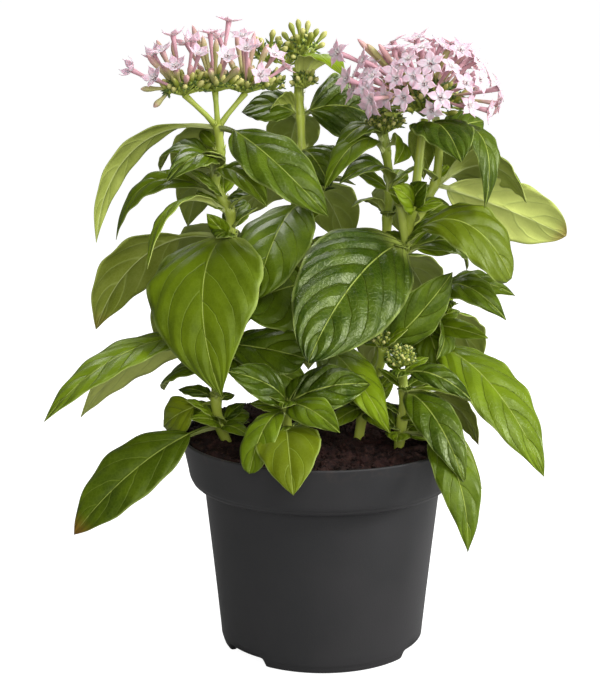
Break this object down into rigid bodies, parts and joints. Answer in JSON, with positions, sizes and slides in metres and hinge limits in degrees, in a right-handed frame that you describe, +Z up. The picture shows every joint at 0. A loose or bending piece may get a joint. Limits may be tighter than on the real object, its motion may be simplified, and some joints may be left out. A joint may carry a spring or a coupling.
{
  "type": "potted pentas plant",
  "caption": "Flowering pentas house plant with glossy leaves and pale pink star-shaped blooms, rooted in a tapered plastic nursery pot with a deep rim band.",
  "frame": {"origin": "centre of the pot's foot, on the surface that the pot stands on", "axes": "+Z up along the pot's axis, -Y towards the side with the lowest leaves over the rim, +X to the right seen from that side"},
  "size_m": [0.234, 0.168, 0.2898],
  "materials": {
    "pot_plastic": "matt dark grey moulded plastic",
    "potting_soil": "damp peat crumbs",
    "leaf_green": "glossy green leaves with sunken veins, on paler stems",
    "leaf_young": "paler yellow-green young leaves",
    "petal_pink": "soft pale lilac pink petals"
  },
  "bodies": {
    "root": {"pot": "pot_plastic", "soil": "potting_soil", "stem-left": "leaf_green", "stem-rear": "leaf_green", "stem-right": "leaf_green", "stem-back-right": "leaf_green", "stem-front-right": "leaf_green", "shoot-right": "leaf_green", "shoot-front": "leaf_young", "florets-left": "petal_pink", "florets-right": "petal_pink"}
  },
  "joints": []
}
